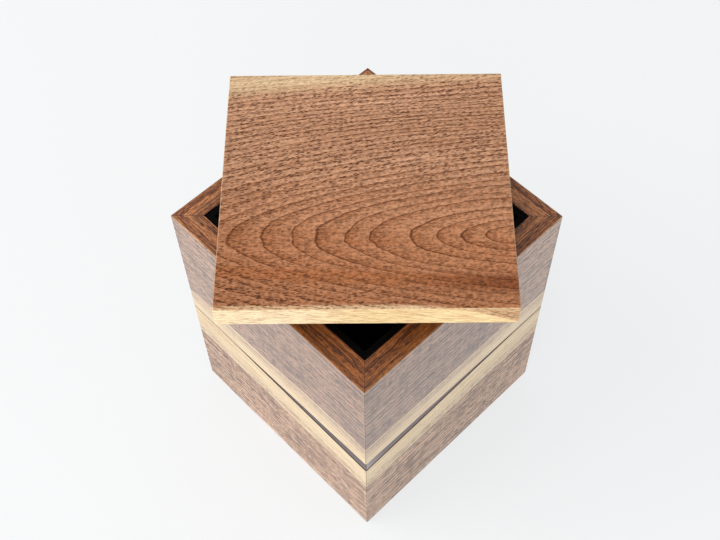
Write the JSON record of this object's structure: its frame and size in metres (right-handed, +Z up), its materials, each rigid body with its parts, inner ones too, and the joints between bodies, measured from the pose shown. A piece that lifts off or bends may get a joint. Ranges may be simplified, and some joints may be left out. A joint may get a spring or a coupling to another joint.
{
  "type": "wooden puzzle box",
  "caption": "Square walnut puzzle box: a base, a lift-off upper section with a tapered finger gap at one corner, and a turn-and-lift lid on a hidden cross-bar lock.",
  "frame": {"origin": "on the floor under the middle of the box, where the lid's turning axis meets it", "axes": "+Z up along the lid's axis; the box's faces lie along X and Y, and the front corner with the finger gap points to +X and -Y"},
  "size_m": [0.2116, 0.2116, 0.2139],
  "materials": {
    "walnut_case": "oiled satin",
    "walnut_lid": "oiled satin",
    "black_stained_wood": "matt black stain",
    "maple": "waxed",
    "black_felt": "matt",
    "steel": "plain",
    "brass": "plain"
  },
  "bodies": {
    "base": {"base_wall_front": "walnut_case", "base_wall_right": "walnut_case", "base_wall_back": "walnut_case", "base_wall_left": "walnut_case", "base_liner_front": "black_stained_wood", "base_liner_right": "black_stained_wood", "base_liner_back": "black_stained_wood", "base_liner_left": "black_stained_wood", "bottom_panel": "walnut_case", "floor_felt": "black_felt", "base_mitre_splines": "maple", "bridge_rail_right": "black_stained_wood", "bridge_rail_left": "black_stained_wood", "turn_stops": "black_stained_wood"},
    "upper": {"upper_wall_front": "walnut_case", "upper_wall_right": "walnut_case", "upper_wall_back": "walnut_case", "upper_wall_left": "walnut_case", "upper_lining_front": "black_stained_wood", "upper_lining_right": "black_stained_wood", "upper_lining_back": "black_stained_wood", "upper_lining_left": "black_stained_wood", "upper_mitre_splines": "maple"},
    "sleeve": {"guide_sleeve": "black_stained_wood"},
    "lid": {"lid_board": "walnut_lid", "lid_hub": "black_stained_wood", "hub_screws": "steel", "lid_post": "black_stained_wood", "lock_bar": "black_stained_wood", "lock_bar_pin": "brass"}
  },
  "joints": [
    {"name": "upper_lift", "type": "slide", "parent": "base", "child": "upper", "axis": [0, 0, 1], "range_m": [0, 0.06]},
    {"name": "lid_lift", "type": "slide", "parent": "upper", "child": "sleeve", "axis": [0, 0, 1], "range_m": [-0.0145, 0.11]},
    {"name": "lid_turn", "type": "hinge", "parent": "sleeve", "child": "lid", "pos_m": [0, 0, 0.15], "axis": [0, 0, 1], "range_deg": [-45.7, 44.3]}
  ]
}
